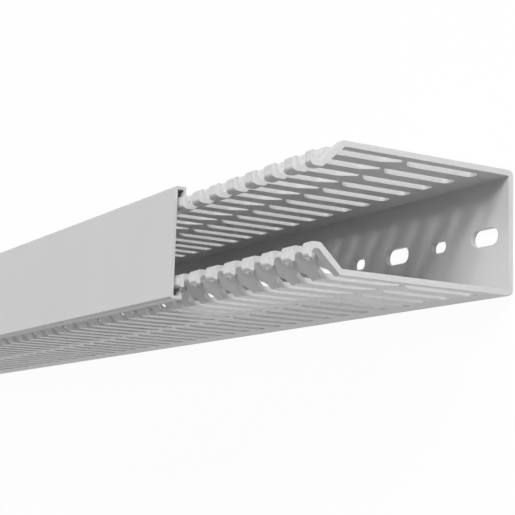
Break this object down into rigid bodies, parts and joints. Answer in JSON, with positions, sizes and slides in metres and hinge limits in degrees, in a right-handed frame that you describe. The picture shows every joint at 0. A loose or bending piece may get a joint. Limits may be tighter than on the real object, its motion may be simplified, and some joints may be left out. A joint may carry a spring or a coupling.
{
  "type": "slotted wire duct",
  "caption": "Rigid plastic U-shaped wiring duct with rows of slots along both walls, hooked finger heads, a perforated base and a clip-on cover slid part way back.",
  "frame": {"origin": "middle of the channel's length and width, on the outer face of its base", "axes": "+X along the duct towards the end that the picture shows open, +Y across it towards one wall, +Z from the base to the cover"},
  "size_m": [0.589, 0.042, 0.0807],
  "materials": {
    "grey_pvc": "light grey rigid PVC, extruded, smooth semi-matt"
  },
  "bodies": {
    "channel": {"duct_channel": "grey_pvc"},
    "cover": {"duct_cover": "grey_pvc"}
  },
  "joints": [
    {"name": "cover_slide", "type": "slide", "parent": "channel", "child": "cover", "axis": [1, 0, 0], "range_m": [-0.411, 0.089]}
  ]
}
